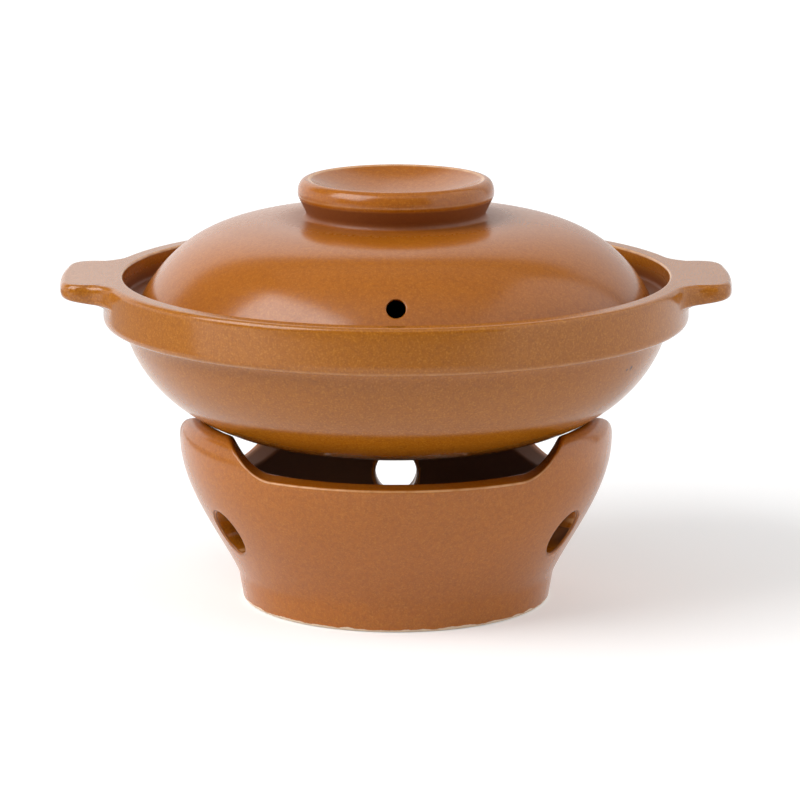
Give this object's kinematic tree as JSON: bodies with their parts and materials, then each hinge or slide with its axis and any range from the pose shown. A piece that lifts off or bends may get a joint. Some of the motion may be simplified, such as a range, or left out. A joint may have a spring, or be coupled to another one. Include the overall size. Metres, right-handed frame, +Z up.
{
  "type": "ceramic stew pot on burner stand",
  "caption": "Round stoneware stew pot with flat tab handles and a domed, knobbed lid, resting on the lugs of a flared burner stand.",
  "frame": {"origin": "centre of the burner stand's underside, on the surface it stands on", "axes": "+X along the two handles, +Z up, and the front of the stand with its wide notch and the lid's steam vent faces -Y"},
  "size_m": [0.2724, 0.238, 0.1733],
  "materials": {
    "stand_glaze": "satin caramel iron glaze with fine golden and dark speckle, bare cream clay under the foot",
    "pot_glaze": "satin caramel iron glaze with fine golden and dark speckle, paler where it breaks on the edges",
    "lid_glaze": "gloss caramel iron glaze with fine speckle",
    "cup_steel": "spun steel"
  },
  "bodies": {
    "stand": {"burner_stand": "stand_glaze"},
    "pot": {"pot_body": "pot_glaze"},
    "lid": {"lid": "lid_glaze"},
    "fuel_cup": {"fuel_cup": "cup_steel"}
  },
  "joints": [
    {"name": "pot_lift", "type": "slide", "parent": "stand", "child": "pot", "axis": [0, 0, 1], "range_m": [0, 0.12]},
    {"name": "lid_lift", "type": "slide", "parent": "pot", "child": "lid", "axis": [0, 0, 1], "range_m": [0, 0.1]},
    {"name": "fuel_cup_lift", "type": "slide", "parent": "stand", "child": "fuel_cup", "axis": [0, 0, 1], "range_m": [0, 0.03]}
  ]
}
